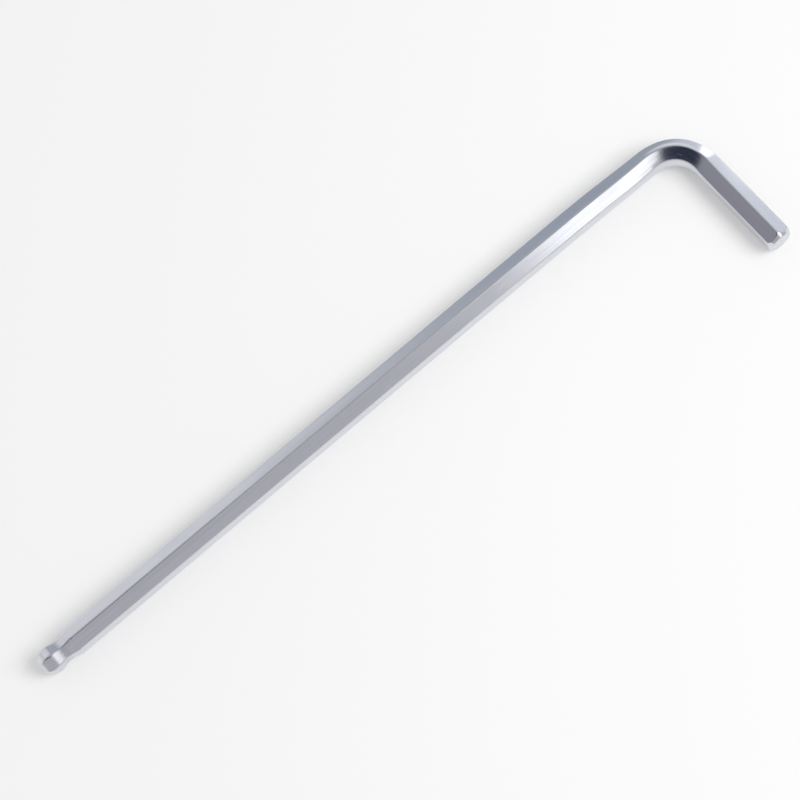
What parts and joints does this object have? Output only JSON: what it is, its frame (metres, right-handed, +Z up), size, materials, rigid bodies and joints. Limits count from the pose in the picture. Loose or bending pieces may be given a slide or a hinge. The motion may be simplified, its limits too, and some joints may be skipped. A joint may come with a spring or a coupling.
{
  "type": "hex key",
  "caption": "L-shaped hexagonal steel key with a necked ball on its long arm and a chamfered end on its short arm, for turning socket-head screws.",
  "frame": {"origin": "centre of the key's bounding box, on the surface that it lies on", "axes": "+X along the long arm from its ball to the bend, -Y along the short arm from the bend to its end face, +Z up from the surface that the key lies on"},
  "size_m": [0.186, 0.0374, 0.0068],
  "materials": {
    "hex_key": "satin plated steel"
  },
  "bodies": {
    "root": {"hex_key": "hex_key"}
  },
  "joints": []
}
